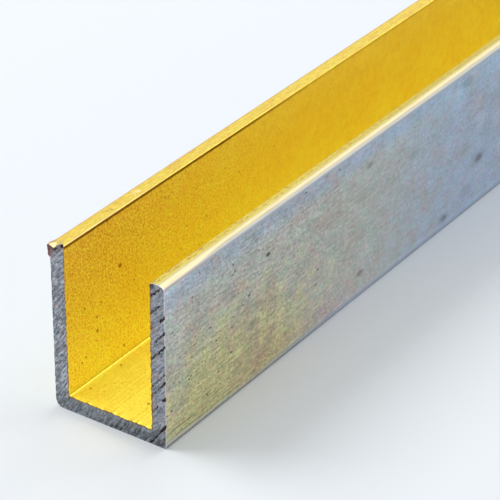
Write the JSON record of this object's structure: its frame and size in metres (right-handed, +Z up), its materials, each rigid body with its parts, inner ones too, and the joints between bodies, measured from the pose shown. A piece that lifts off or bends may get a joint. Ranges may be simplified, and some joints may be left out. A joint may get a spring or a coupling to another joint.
{
  "type": "brass u-channel",
  "caption": "Straight length of brass U-channel stock: a flat web with a leg along each edge, rounded outside corners and sawn ends.",
  "frame": {"origin": "on the underside of the web, at the middle of the length and of the width", "axes": "+Z up out of the open groove, +Y along the stock, +X across it from leg to leg"},
  "size_m": [0.0126, 0.3048, 0.0175],
  "materials": {
    "brass": "as extruded: clean gold inside the groove, dull grey-brown tarnish with fine drawn streaks outside, coarse saw marks on the ends"
  },
  "bodies": {
    "root": {"u_channel": "brass"}
  },
  "joints": []
}
